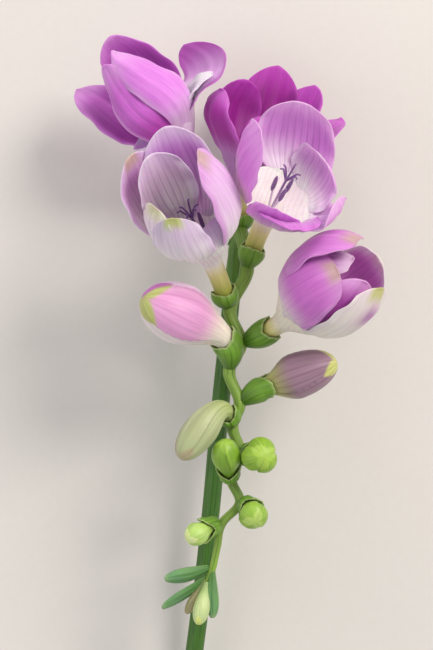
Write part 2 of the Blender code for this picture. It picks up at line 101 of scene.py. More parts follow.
class GrowthAxis:
    """The bent centre line of one flower or bud. Its direction is start * (1 - share) + end * share, where the share
    grows smoothly over the length bend, and its points are the running sum of that direction. A side direction is
    carried along it without twisting."""

    STEPS = 80
    REACH = 70.0  # millimetres

    def __init__(self, plant):
        along = np.linspace(0.0, self.REACH, self.STEPS + 1)
        share = smooth(along / plant["bend"])[:, None]
        way = aim(*plant["start"]) * (1.0 - share) + aim(*plant["end"]) * share
        self.way = way / np.linalg.norm(way, axis=1)[:, None]
        moved = np.stack([running_sum(self.way[:, i], along[1]) for i in range(3)], axis=1)
        self.centre = np.array(plant["node"], float) + moved
        self.along = along
        hint = np.array([1.0, 0.0, 0.0]) if abs(self.way[0, 0]) < 0.9 else np.array([0.0, -1.0, 0.0])
        side = [hint - self.way[0] * (hint @ self.way[0])]
        for w in self.way[1:]:
            side.append(side[-1] - w * (side[-1] @ w))
        self.side = np.array([s / np.linalg.norm(s) for s in side])

    def place(self, across, height, turn):
        """centre(height) + across * (side * cos(turn) + third * sin(turn)): points round the centre line."""
        h = np.clip(height, 0.0, self.REACH)
        centre, way, side = (
            np.stack([np.interp(h, self.along, line[:, i]) for i in range(3)], axis=-1)
            for line in (self.centre, self.way, self.side)
        )
        way /= np.linalg.norm(way, axis=-1, keepdims=True)
        third = np.cross(way, side)
        return (
            centre
            + way * (height - h)[..., None]
            + side * (across * np.cos(turn))[..., None]
            + third * (across * np.sin(turn))[..., None]
        )


def through(route, count):
    """count points on a centripetal Catmull-Rom curve through the route, evenly spread over its length: each is
    mixed from the four route points round it, in three rounds of straight mixes."""
    p = np.array(route, float)
    p = np.vstack([2 * p[0] - p[1], p, 2 * p[-1] - p[-2]])
    step = np.linalg.norm(np.diff(p[:, :3], axis=0), axis=1)
    knots = np.append(0.0, np.cumsum(np.sqrt(step)))
    length = np.append(0.0, np.cumsum(step[1:-1]))
    at = np.linspace(0.0, length[-1], count)
    i = np.clip(np.searchsorted(length, at, side="right") - 1, 0, len(length) - 2)
    share = (at - length[i]) / (length[i + 1] - length[i])
    k = [knots[i + j][:, None] for j in range(4)]
    u = k[1] + share[:, None] * (k[2] - k[1])
    mixes = [p[i + j] for j in range(4)]
    for reach, first in ((1, 0), (2, 0), (1, 1)):
        ends = [(k[j + first], k[j + first + reach]) for j in range(len(mixes) - 1)]
        mixes = [(mixes[j] * (b - u) + mixes[j + 1] * (u - a)) / (b - a) for j, (a, b) in enumerate(ends)]
    return mixes[0]


# Mesh helpers. A piece is given as a grid of points in the drawing, with a tint and a grain for each point. The tint
# is its linear colour and how strongly its veins or lines show. The grain is the point's place on its own tissue in
# millimetres: x and y across the fibres, z along them. A look is (material, CAD node that it replaces, slot).


def linear(colour):
    """A hex sRGB colour as linear red, green and blue: c / 12.92 up to 0.04045, else ((c + 0.055) / 1.055)^2.4."""
    c = np.array([int(colour[i : i + 2], 16) for i in (1, 3, 5)]) / 255.0
    return np.where(c <= 0.04045, c / 12.92, ((c + 0.055) / 1.055) ** 2.4)


def rgba(colour):
    """A hex sRGB colour as a node's linear, opaque colour."""
    return (*linear(colour), 1.0)


def blend(first, second, share):
    """first + (second - first) * share, for hex colours or linear ones on the last axis."""
    first, second = (linear(c) if isinstance(c, str) else c for c in (first, second))
    return first + (second - first) * np.asarray(share)[..., None]


def tinted(colour, strength):
    """Linear colours with how strongly the veins or lines show as their fourth channel."""
    return np.concatenate([colour, np.broadcast_to(strength, colour.shape[:-1])[..., None]], axis=-1)


def placed(name, data):
    """An object of this name in the scene, unturned at the origin."""
    made = bpy.data.objects.new(name, data)
    bpy.context.scene.collection.objects.link(made)
    return made


def finished(name, points, quads, triangles, grain, tint, look):
    """The piece as an object that stands for its CAD node. Its faces are turned outwards, so that their signed
    volume, a sum of triple products of their corners, is positive."""
    finish, node, slot = look
    volume = sum(
        np.einsum("ij,ij->", points[f[:, 0]], np.cross(points[f[:, i]], points[f[:, i + 1]]))
        for f in (quads, triangles)
        for i in range(1, f.shape[1] - 1)
    )
    if volume < 0.0:
        quads, triangles = quads[:, ::-1], triangles[:, ::-1]
    corners = np.concatenate([quads.ravel(), triangles.ravel()])
    starts = np.concatenate([4 * np.arange(len(quads)), 4 * len(quads) + 3 * np.arange(len(triangles))])
    mesh = bpy.data.meshes.new(name)
    mesh.vertices.add(len(points))
    mesh.vertices.foreach_set("co", row_frame(points).ravel())
    mesh.loops.add(len(corners))
    mesh.loops.foreach_set("vertex_index", corners.astype(np.int32))
    mesh.polygons.add(len(starts))
    mesh.polygons.foreach_set("loop_start", starts.astype(np.int32))
    mesh.update(calc_edges=True)
    mesh.attributes.new("grain", "FLOAT_VECTOR", "POINT").data.foreach_set("vector", grain.ravel())
    mesh.attributes.new("tint", "FLOAT_COLOR", "POINT").data.foreach_set("color", tint.ravel())
    mesh.materials.append(finish)
    mesh.shade_smooth()
    piece = placed(name, mesh)
    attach(piece, "root")
    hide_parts(node)


def round_body(name, points, grain, tint, look):
    """A closed body from rings of points: the grid wraps round, and its first and last rows close to a point."""
    rings, sides = points.shape[:2]
    rows = np.arange(1, (rings - 2) * sides + 1).reshape(rings - 2, sides)
    ahead = np.roll(rows, -1, axis=1)
    quads = np.stack([rows[:-1], ahead[:-1], ahead[1:], rows[1:]], axis=-1).reshape(-1, 4)
    top = rows[-1, -1] + 1
    foot_fan = np.stack([np.zeros(sides, int), ahead[0], rows[0]], axis=-1)
    top_fan = np.stack([np.full(sides, top), rows[-1], ahead[-1]], axis=-1)
    inner = slice(1, rings - 1)

    def listed(values):
        """The grid as one list, with the mean of its first and last rows as the two poles."""
        width = values.shape[-1]
        return np.vstack([values[0].mean(0), values[inner].reshape(-1, width), values[-1].mean(0)])

    fans = np.vstack([foot_fan, top_fan])
    finished(name, listed(points), quads, fans, listed(grain), listed(tint), look)


def blade(name, points, thickness, grain, tints, look):
    """A thin closed blade: the grid moved by half its thickness along its normal to both sides, with a strip as
    its rim. The normal is the cross product of the grid's two gradients, and tints are for the two faces."""
    normal = np.cross(np.gradient(points, axis=1), np.gradient(points, axis=0))
    normal /= np.linalg.norm(normal, axis=-1, keepdims=True)
    push = normal * (thickness / 2.0)[..., None]
    rows = np.arange(points.shape[0] * points.shape[1]).reshape(points.shape[:2])
    outer = np.stack([rows[:-1, :-1], rows[:-1, 1:], rows[1:, 1:], rows[1:, :-1]], axis=-1).reshape(-1, 4)
    rim = np.concatenate([rows[0, :-1], rows[:-1, -1], rows[-1, :0:-1], rows[:0:-1, 0]])
    after, count = np.roll(rim, -1), rows.size
    strip = np.stack([rim, rim + count, after + count, after], axis=-1)
    quads = np.vstack([outer, outer[:, ::-1] + count, strip])
    both = np.vstack([(points + push).reshape(-1, 3), (points - push).reshape(-1, 3)])
    other_side = np.array([0.0, 7.0, 0.0])  # so that the pattern differs on the two faces
    grains = np.vstack([grain.reshape(-1, 3), (grain + other_side).reshape(-1, 3)])
    colours = np.vstack([t.reshape(-1, 4) for t in tints])
    finished(name, both, quads, np.zeros((0, 3), int), grains, colours, look)


# A rod's lengthwise ridges, and how far its ends bulge, as a share of the radius.
RIDGES = 7
END_BULGE = 0.25


def rod(name, line, radii, sides, tint, look, ridges=0.0):
    """A round rod along a line of points with rounded ends: centre + radius * (side * cos + third * sin), where
    ridges is the height of its seven lengthwise ridges as a share of the radius."""
    way = np.gradient(line, axis=0)
    way /= np.linalg.norm(way, axis=1, keepdims=True)
    hint = np.eye(3)[np.argmin(np.abs(way).max(axis=0))]
    side = hint - way * (way @ hint)[:, None]
    side /= np.linalg.norm(side, axis=1, keepdims=True)
    third = np.cross(way, side)
    turn = circle(sides)
    around = side[:, None] * np.cos(turn)[:, None] + third[:, None] * np.sin(turn)[:, None]
    across = radii[:, None] * (1.0 + ridges * np.cos(RIDGES * turn))
    body = line[:, None] + around * across[..., None]
    ends = [line[[0]] - way[[0]] * radii[0] * END_BULGE, line[[-1]] + way[[-1]] * radii[-1] * END_BULGE]
    points = np.concatenate([np.repeat(ends[0][None], sides, 1), body, np.repeat(ends[1][None], sides, 1)])
    run = np.append(0.0, np.cumsum(np.linalg.norm(np.diff(line, axis=0), axis=1)))
    rows = np.clip(np.arange(-1, len(line) + 1), 0, len(line) - 1)
    thick = radii[rows][:, None]
    grain = stacked(thick * np.cos(turn), thick * np.sin(turn), run[rows][:, None])
    round_body(name, points, grain, np.repeat(tint[rows][:, None], sides, axis=1), look)


# Materials.


def wire(tree, node, inputs):
    """Gives inputs of a node, by name or number, their values, or links where the value is another node's socket."""
    for key, value in inputs.items():
        if isinstance(value, bpy.types.NodeSocket):
            tree.links.new(value, node.inputs[key])
        else:
            node.inputs[key].default_value = value
    return node.outputs


def add(tree, kind, inputs, **settings):
    """Adds a node of this kind with its settings and inputs, and gives its outputs. A map range's inputs 0 to 4 are
    the value, the range that it comes from and the range that it goes to, and it clamps. A colour mix's inputs 0, 6
    and 7 are the share and the two colours, and its output 2 is the mixed colour."""
    node = tree.nodes.new("ShaderNode" + kind)
    for key, value in settings.items():
        setattr(node, key, value)
    return wire(tree, node, inputs)


def new_material(name):
    """A material of this name and its node tree, in which a Principled BSDF is the surface."""
    made = bpy.data.materials.new(name)
    made.use_nodes = True
    return made, made.node_tree


def new_tissue(name):
    """A material, its node tree, and the pieces' own grain, tint and strength of lines as sockets."""
    made, tree = new_material(name)
    grain, tint = (add(tree, "Attribute", {}, attribute_name=kind) for kind in ("grain", "tint"))
    return made, tree, grain["Vector"], tint["Color"], tint["Alpha"]


def streaked(tree, colour, grain, size, detail, low, high, most, over, how):
    """The colour with streaks over it, and the noise that draws them. Size is one streak's across and along in
    millimetres. The share of the over colour goes from 0 where the noise is low to most where it is high."""
    place = add(tree, "VectorMath", {0: grain, 1: size}, operation="DIVIDE")[0]
    noise = add(tree, "TexNoise", {"Vector": place, "Scale": 1.0, "Detail": detail})["Fac"]
    share = add(tree, "MapRange", {0: noise, 1: low, 2: high, 3: 0.0, 4: most})[0]
    mix = {0: share, 6: colour, 7: rgba(over)}
    return add(tree, "Mix", mix, data_type="RGBA", blend_type=how)[2], noise


def petal_tissue(name, vein_colour, vein_spacing, rough):
    """Living petal: a thin water-filled skin of tiny domed cells, grown in the bud. To the eye it is soft and a
    little see-through, paler between fine lengthwise veins, with a faint velvet sheen and no sharp gloss."""
    made, tree, grain, tint, strength = new_tissue(name)

    # Main veins: bands one spacing apart across the petal. The wave texture repeats every pi / 10 of its vector.
    per_mm = math.pi / 10.0 / vein_spacing
    lanes = add(tree, "VectorMath", {0: grain, 1: (per_mm, per_mm, per_mm * 0.06)}, operation="MULTIPLY")[0]
    bands = {"Vector": lanes, "Scale": 1.0, "Distortion": 3.5, "Detail": 2.0, "Detail Scale": 0.9}
    waves = add(tree, "TexWave", bands, wave_type="BANDS", bands_direction="X")["Fac"]
    vein = add(tree, "MapRange", {0: waves, 1: 0.70, 2: 1.0, 3: 0.0, 4: 0.5})[0]
    vein = add(tree, "Math", {0: vein, 1: strength}, operation="MULTIPLY")[0]

    # Lighter broad streaks, then darker fine ones and the veins.
    colour, _ = streaked(tree, tint, grain, (2.6, 2.6, 14.0), 2.0, 0.3, 0.7, 0.35, "#FFFFFF", "SOFT_LIGHT")
    colour, fine = streaked(tree, colour, grain, (0.35, 0.35, 9.0), 3.0, 0.42, 0.72, 0.28, "#B69CC0", "MULTIPLY")
    mix = {0: vein, 6: colour, 7: rgba(vein_colour)}
    colour = add(tree, "Mix", mix, data_type="RGBA", blend_type="MULTIPLY")[2]

    # The cells are about 0.05 mm wide, too fine for the picture, so they are drawn about five times as coarse.
    cells = add(tree, "TexNoise", {"Vector": grain, "Scale": 4.0, "Detail": 2.0})["Fac"]
    roughness = add(tree, "MapRange", {0: cells, 1: 0.3, 2: 0.7, 3: rough - 0.08, 4: rough + 0.08})[0]
    relief = add(tree, "Math", {0: fine, 1: 0.5, 2: cells}, operation="MULTIPLY_ADD")[0]
    bump = add(tree, "Bump", {"Strength": 0.35, "Distance": 0.15 * MM, "Height": relief})[0]
    skin = {"Base Color": colour, "Roughness": roughness, "Normal": bump, "IOR": 1.4}
    skin |= {"Subsurface Weight": 0.5, "Subsurface Radius": (1.0, 0.5, 0.95), "Subsurface Scale": 1.6 * MM}
    skin |= {"Sheen Weight": 0.12, "Sheen Roughness": 0.4}
    wire(tree, tree.nodes["Principled BSDF"], skin)
    return made


def green_tissue(name, streak_colour, streak_width, rough, soft=0.12):
    """Living green stem, bract or unripe bud: a smooth waxy skin over juicy fibres. To the eye it has fine
    lengthwise lines of a deeper green, cloudy lighter patches and a soft wax shine."""
    made, tree, grain, tint, strength = new_tissue(name)

    # Darker fibres, as strong as the tint says, then lighter cloudy patches.
    most = add(tree, "Math", {0: strength, 1: 0.75}, operation="MULTIPLY")[0]
    thin = (streak_width, streak_width, 14.0)
    colour, fibres = streaked(tree, tint, grain, thin, 3.0, 0.45, 0.7, most, streak_colour, "MULTIPLY")
    colour, _ = streaked(tree, colour, grain, (2.2, 2.2, 6.0), 2.0, 0.4, 0.75, 0.4, "#DDE8A8", "SOFT_LIGHT")

    # Grains of wax about 0.2 mm wide.
    wax = add(tree, "TexNoise", {"Vector": grain, "Scale": 5.0, "Detail": 2.0})["Fac"]
    roughness = add(tree, "MapRange", {0: wax, 1: 0.3, 2: 0.7, 3: rough - 0.07, 4: rough + 0.09})[0]
    relief = add(tree, "Math", {0: fibres, 1: 0.8, 2: wax}, operation="MULTIPLY_ADD")[0]
    bump = add(tree, "Bump", {"Strength": 0.3, "Distance": 0.15 * MM, "Height": relief})[0]
    skin = {"Base Color": colour, "Roughness": roughness, "Normal": bump, "IOR": 1.45}
    skin |= {"Subsurface Weight": soft, "Subsurface Radius": (0.6, 1.0, 0.25), "Subsurface Scale": 0.8 * MM}
    wire(tree, tree.nodes["Principled BSDF"], skin)
    return made


def pollen_tissue(name, dust_colour):
    """Style and anthers: a smooth fleshy thread, dusted where the anther splits. To the eye it is matt, with a fine
    grey-lilac speckle of pollen grains."""
    made, tree, grain, tint, strength = new_tissue(name)
    # Pollen grains are 0.05 mm wide, drawn about 0.2 mm wide so that they show.
    grains = add(tree, "TexVoronoi", {"Vector": grain, "Scale": 5.0})["Distance"]
    dust = add(tree, "MapRange", {0: grains, 1: 0.15, 2: 0.5, 3: 0.55, 4: 0.0})[0]
    dust = add(tree, "Math", {0: dust, 1: strength}, operation="MULTIPLY")[0]
    colour = add(tree, "Mix", {0: dust, 6: tint, 7: rgba(dust_colour)}, data_type="RGBA")[2]
    bump = add(tree, "Bump", {"Strength": 0.5, "Distance": 0.1 * MM, "Height": grains})[0]
    skin = {"Base Color": colour, "Normal": bump, "Roughness": 0.7, "IOR": 1.4}
    skin |= {"Subsurface Weight": 0.1, "Subsurface Scale": 0.4 * MM}
    wire(tree, tree.nodes["Principled BSDF"], skin)
    return made


def matt_board(name, colour):
    """Painted fibreboard table: rolled matt paint. To the eye it is even and pale, with a faint roller texture."""
    made, tree = new_material(name)
    place = add(tree, "TexCoord", {})["Object"]
    # Roller stipple is about 2 mm across, so 500 bumps a metre.
    stipple = add(tree, "TexNoise", {"Vector": place, "Scale": 500.0, "Detail": 2.0})["Fac"]
    shade = add(tree, "MapRange", {0: stipple, 1: 0.3, 2: 0.7, 3: 0.0, 4: 0.03})[0]
    paint = add(tree, "Mix", {0: shade, 6: rgba(colour), 7: rgba("#8E8C88")}, data_type="RGBA")[2]
    wire(tree, tree.nodes["Principled BSDF"], {"Base Color": paint, "Roughness": 0.75})
    return made


# The stem's route from the cut end, over the bend and down the zigzag of the flowering axis: x, y, z and radius.
STEM_ROUTE = [
    (-19.0, -172.0, 2.7, 2.5),
    (-12.5, -132.0, 4.6, 2.5),
    (-6.3, -92.0, 7.0, 2.5),
    (-1.9, -55.0, 9.6, 2.5),
    (1.2, -21.0, 12.0, 2.5),
    (4.0, 6.0, 13.6, 2.4),
    (5.0, 16.0, 14.0, 2.3),
    (5.8, 22.4, 15.8, 2.1),
    (6.4, 25.4, 20.0, 2.1),
    (7.2, 23.6, 24.6, 2.0),
    (8.2, 18.8, 27.2, 1.9),
    (8.0, 13.6, 28.4, 1.8),
    (3.6, 4.0, 30.4, 1.7),
    (6.6, -5.0, 31.6, 1.65),
    (3.4, -12.6, 32.4, 1.6),
    (6.3, -21.4, 33.0, 1.5),
    (4.3, -27.5, 33.2, 1.5),
    (6.5, -34.8, 33.4, 1.4),
    (4.0, -41.6, 33.6, 1.35),
    (6.3, -48.0, 33.8, 1.25),
    (1.4, -53.8, 34.0, 1.1),
    (0.2, -60.0, 34.0, 1.0),
    (-1.4, -67.0, 34.0, 0.95),
    (-2.6, -70.0, 34.2, 0.95),
]

# Flowers. Each has its node on the flowering axis, its start and end directions (angle, rise), the length over which
# it bends, where its perianth starts, the narrow tube's radius and length, the funnel's length and slope, the length
# and turn of its pair of bracts, and its tepals.
# A tepal is (turn round the axis, slope at its middle, slope at its tip, length, half width, cup, layer, lean).
# Slopes are degrees away from the flower's axis. A cup above 1 curls the margins in, and one below 1 flattens the
# blade. The layer is how far outside the funnel's wall it lies, in steps of LAYER, and one below 0 is inside. The
# lean is how many degrees the blade turns round the axis on its way to the tip.
FLOWERS = {
    "rear_left": dict(
        node=(5.7, 21.0, 15.2), start=(110, 0), end=(128, 17), bend=30.0, first=9.5,
        radius=2.3, narrow=16.5, funnel=17.0, slope=38.0, bract=(11.5, 60.0),
        tepals=[
            (350, 104, 14, 22.5, 13.0, 0.6, 1, 58),
            (68, -13, -34, 30.0, 10.8, 1.0, -1, -8),
            (132, 16, 46, 22.5, 8.0, 1.0, 1, -4),
            (272, -30, -26, 26.5, 7.0, 2.0, -1, -40),
            (308, -32, -42, 29.0, 7.2, 2.0, 1, -4),
            (350, 60, 110, 11.0, 7.0, 1.0, -1, 0),
        ],
    ),
    "rear_right": dict(
        node=(6.4, 25.2, 20.0), start=(84, 0), end=(76, 6), bend=14.0, first=4.5,
        radius=2.2, narrow=3.5, funnel=15.0, slope=38.0, bract=(6.0, 0.0),
        tepals=[
            (35, 44, 50, 23.0, 9.5, 1.0, 1, 0),
            (58, 14, 6, 24.5, 10.0, 1.0, -1, -14),
            (91, 6, 2, 27.0, 9.6, 1.0, 1, -2),
            (150, 16, -24, 22.0, 11.0, 0.6, -1, -20),
            (206, 38, -40, 19.0, 10.5, 1.0, 1, -4),
            (285, -10, -30, 14.0, 8.5, 1.0, -1, 0),
        ],
    ),
    "front_left": dict(
        node=(3.6, 4.0, 30.4), start=(107, 16), end=(115, 43), bend=17.0, first=5.0,
        radius=2.5, narrow=9.0, funnel=15.0, slope=37.0, bract=(6.0, 20.0),
        tepals=[
            (-24, -4, -34, 28.5, 9.8, 1.2, 1, 16),
            (84, 8, 2, 27.0, 11.0, 0.6, -1, 0),
            (134, 12, -12, 25.0, 10.0, 0.6, 1, 0),
            (206, 2, -44, 19.0, 9.0, 0.8, -1, 0),
            (248, 0, -34, 16.5, 9.0, 0.8, 1, 0),
            (306, -4, -35, 9.5, 8.8, 0.8, -1, 0),
            (122, -2, -10, 25.0, 10.0, 0.8, -3, 0),
        ],
    ),
    "front_right": dict(
        node=(8.0, 15.0, 28.2), start=(72, 12), end=(62, 48), bend=20.0, first=6.0,
        radius=2.5, narrow=7.0, funnel=16.0, slope=40.0, bract=(7.0, 90.0),
        tepals=[
            (-26, 52, -50, 12.6, 7.5, 0.6, 1, 10),
            (31, 20, -50, 13.5, 10.5, 0.6, -1, 20),
            (78, 22, -10, 20.8, 12.5, 0.4, 1, 24),
            (188, 10, -16, 27.0, 11.0, 0.8, -1, 16),
            (275, -2, 12, 9.5, 8.2, 0.8, 2.2, -8),
            (290, 36, 70, 12.0, 9.8, 0.6, -1, 0),
        ],
    ),
    "opening": dict(
        node=(6.6, -5.0, 31.6), start=(22, 12), end=(36, 32), bend=15.0, first=8.0,
        radius=2.5, narrow=2.5, funnel=13.5, slope=38.0, bract=(10.0, 0.0),
        tepals=[
            (322, -9, -34, 24.0, 8.4, 0.8, -1, 0),
            (192, 0, -58, 29.0, 11.0, 0.8, 0.6, 0),
            (208, -13, -54, 26.0, 8.6, 0.8, -3, 0),
            (259, -1, -46, 20.0, 10.5, 0.8, 2, 0),
            (303, -12, -40, 19.0, 6.6, 0.8, -0.4, 0),
            (349, -2, -36, 25.0, 9.6, 0.8, 1, 0),
            (85, 2, -42, 24.0, 10.0, 0.8, 1, 0),
        ],
    ),
}

# Closed buds: node, start and end directions, bend, where the perianth starts, its length and greatest radius, the
# share of the length where that radius lies, the foot's radius, the bracts' length and turn, and the seams' turn.
BUDS = {
    "left_large": dict(
        node=(3.4, -12.6, 32.4), start=(82, 16), end=(155, 26), bend=16.5, first=9.0,
        length=28.0, radius=8.1, belly=0.57, foot=2.9, bract=(10.5, 0.0), seam=30.0,
    ),
    "right_large": dict(
        node=(6.3, -21.4, 33.0), start=(41, 6), end=(20, 12), bend=11.0, first=7.8,
        length=21.5, radius=6.1, belly=0.43, foot=2.2, bract=(11.0, 90.0), seam=75.0,
    ),
    "left_middle": dict(
        node=(4.3, -27.5, 33.2), start=(104, 36), end=(234, 12), bend=16.0, first=3.8,
        length=22.5, radius=4.6, belly=0.55, foot=1.9, bract=(5.6, 0.0), seam=10.0,
    ),
    "right_small": dict(
        node=(6.5, -34.8, 33.4), start=(-5, 50), end=(5, 72), bend=8.0, first=4.0,
        length=12.5, radius=5.0, belly=0.62, foot=2.0, bract=(6.4, 80.0), seam=40.0,
    ),
    "front_small": dict(
        node=(4.0, -41.6, 33.6), start=(110, 60), end=(98, 40), bend=8.0, first=3.4,
        length=12.0, radius=3.9, belly=0.52, foot=1.7, bract=(5.4, 0.0), seam=-60.0,
    ),
    "right_round": dict(
        node=(6.3, -48.0, 33.8), start=(-20, 40), end=(-72, 60), bend=8.0, first=3.2,
        length=8.0, radius=3.9, belly=0.58, foot=1.7, bract=(5.2, 40.0), seam=90.0,
    ),
    "left_small": dict(
        node=(1.4, -53.8, 34.0), start=(190, 30), end=(208, 38), bend=8.0, first=3.4,
        length=8.8, radius=3.1, belly=0.56, foot=1.5, bract=(6.4, 90.0), seam=20.0,
    ),
}

# Unripe buds at the very tip, which grow together with the stem.
TIP_BUDS = {
    "front": dict(
        node=(-2.5, -69.5, 34.6), start=(256, 10), end=(258, 16), bend=6.0, first=0.0,
        length=11.8, radius=2.2, belly=0.64, foot=0.9, seam=0.0,
    ),
    "rear": dict(
        node=(-2.7, -69.0, 33.9), start=(238, -12), end=(240, -14), bend=6.0, first=0.0,
        length=11.2, radius=1.5, belly=0.62, foot=0.8, seam=60.0,
    ),
}

# Bare bracts at the tip: root, tip, half width, how far the middle arches, and the turn of the blade in degrees.
TIP_BRACTS = {
    "left": dict(root=(-2.0, -65.9, 34.0), tip=(-13.9, -68.7, 35.5), half=2.6, arch=1.3, roll=25.0),
    "low": dict(root=(-2.4, -68.6, 33.4), tip=(-14.6, -76.9, 31.5), half=2.2, arch=0.8, roll=40.0),
    "right": dict(root=(-1.4, -66.4, 34.4), tip=(-1.2, -79.0, 35.0), half=2.6, arch=1.3, roll=-30.0),
}

# A cup of bracts in millimetres: where it starts above the node, its wall, the radius of its neck, and the gap
# between it and the tube or bud that stands in it.
BRACT_START = 0.6
BRACT_WALL = 0.65
NECK = 1.1
CLEAR = 0.62

# A perianth in millimetres: the tube's wall and floor, how far the tepals' roots are sunk in the funnel, one step
# between layers of tepals, and how thick a tepal is in its middle and at its rim.
WALL = 0.7
TUBE_FLOOR = 1.0
SUNK = 3.0
LAYER = 0.62
PETAL = 0.5
PETAL_RIM = 0.22

# A tepal's oval: where along it is widest, how round its tip is, how far the tip is drawn out to a point, half the
# root's width round the axis in degrees, and the least radius that a blade is wrapped round, in millimetres.
WIDEST = 0.46
ROUND = 0.47
POINT = 0.035
ROOT_TURN = 27.0
LEAST_WRAP = 4.5

# A tepal's relief in millimetres: how deep its cup is, its midrib, the trough beside that, its pleats and its wave.
CUP_DEPTH = 1.1
MIDRIB = 0.22
TROUGH = 0.10
PLEATS = 0.05
WAVE = 0.28

LINE_POINTS = 121


def funnel_line(flower):
    """Distance along the wall, radius, height and slope of the tube and funnel, at the middle of the wall. The slope
    grows smoothly from 0 to the funnel's own, and radius and height are the running sums of its sine and cosine."""
    total = flower["narrow"] + flower["funnel"]
    run = np.linspace(0.0, total, LINE_POINTS)
    slope = math.radians(flower["slope"]) * smooth((run - flower["narrow"]) / (0.45 * flower["funnel"]))
    radius = flower["radius"] - WALL / 2 + running_sum(np.sin(slope), run[1])
    height = flower["first"] + running_sum(np.cos(slope), run[1])
    return run, radius, height, slope


def tepal_line(flower, tepal):
    """Share of the length, radius, height and slope along a tepal's middle, from its sunk root to its tip: running
    sums of the sine and cosine of a slope that goes smoothly from the funnel's to the middle's and the tip's."""
    _, middle, tip, length = tepal[:4]
    _, radius, height, slope = funnel_line(flower)
    total = length + SUNK
    run = np.linspace(0.0, total, LINE_POINTS)
    share = np.clip((run - SUNK) / length, 0.0, 1.0)
    bend = (middle - flower["slope"]) * smooth(share / 0.5) + (tip - middle) * smooth((share - 0.42) / 0.58)
    angles = np.radians(flower["slope"] + bend)
    r = radius[-1] - SUNK * math.sin(slope[-1]) + running_sum(np.sin(angles), run[1])
    h = height[-1] - SUNK * math.cos(slope[-1]) + running_sum(np.cos(angles), run[1])
    return run / total, r, h, angles


def tepal_points(flower, index, s, t):
    """The middle surface of one tepal: an oval wrapped round the flower's axis on its own profile line, with a
    raised midrib, soft lengthwise pleats and a margin that waves a little. s runs across it from -1 to 1, and t
    from its sunk root, 0, to its tip, 1."""
    turn, _, _, length, half, cup, whorl, lean = flower["tepals"][index]
    share_line, r_line, h_line, a_line = tepal_line(flower, flower["tepals"][index])
    sunk = SUNK / (length + SUNK)
    low = np.minimum(t / WIDEST, 1.0)
    v = np.clip((t - WIDEST) / (1.0 - WIDEST), 0.0, 1.0)
    along = np.where(t < WIDEST, t, WIDEST + (1.0 - WIDEST) * v * np.sqrt(1.0 - ROUND * s * s))
    along = along + POINT * (1.0 - np.abs(s)) ** 2 * v**3
    narrow = r_line[0] * math.radians(ROOT_TURN)
    width = narrow + (half - narrow) * np.sin(low * math.pi / 2.0) ** 1.2
    lateral = s * width * np.sqrt(1.0 - ROUND * v * v)
    beyond = np.maximum(along - 1.0, 0.0)
    r = np.interp(along, share_line, r_line) + beyond * 5.0
    h = np.interp(along, share_line, h_line) + beyond * length
    a = np.interp(along, share_line, a_line)
    free = smooth((along - sunk) / 0.16)
    layer = (0.10 + (LAYER - 0.10) * free) * whorl
    seed = 1.7 * index + 0.31 * turn
    relief = MIDRIB * bump_at(s, 0.0, 0.10) - TROUGH * bump_at(np.abs(s), 0.30, 0.12)
    relief = relief + PLEATS * np.cos(s * 15.0 + seed) * np.sin(t * math.pi)
    relief = relief + WAVE * np.abs(s) ** 3 * np.sin(5.5 * t * math.pi + seed + 1.3 * np.sign(s))
    curl = (cup - 1.0) * CUP_DEPTH * s * s * np.sin(np.clip(along, 0.0, 1.0) * math.pi * 0.8)
    inward = free * (curl + relief) - layer
    r = r - inward * np.cos(a)
    h = h + inward * np.sin(a)
    around = np.radians(turn + lean * along) + lateral / np.maximum(r, LEAST_WRAP)
    return GrowthAxis(flower).place(r, h, around)


# Colours, as seen on the living flower in soft light.
WHITE_THROAT = "#F3F0EC"
CREAM = "#EFE8D6"
TUBE_YELLOW = "#DDD48C"
TUBE_GREEN = "#A6B04A"
PALE_LILAC = "#E2C9E8"
ORCHID = "#BE6FCB"
VIOLET_PINK = "#A94FB4"
MAGENTA = "#A02C98"
# Deep magenta darkened further with painted shade, used at the inner base where the throat lies in shadow.
DEEP_MAGENTA_PAINTED_SHADE = "#7A1474"
GREY_PINK = "#BD93B7"
TIP_GREEN = "#B7C071"
TIP_BROWN = "#A99A6C"
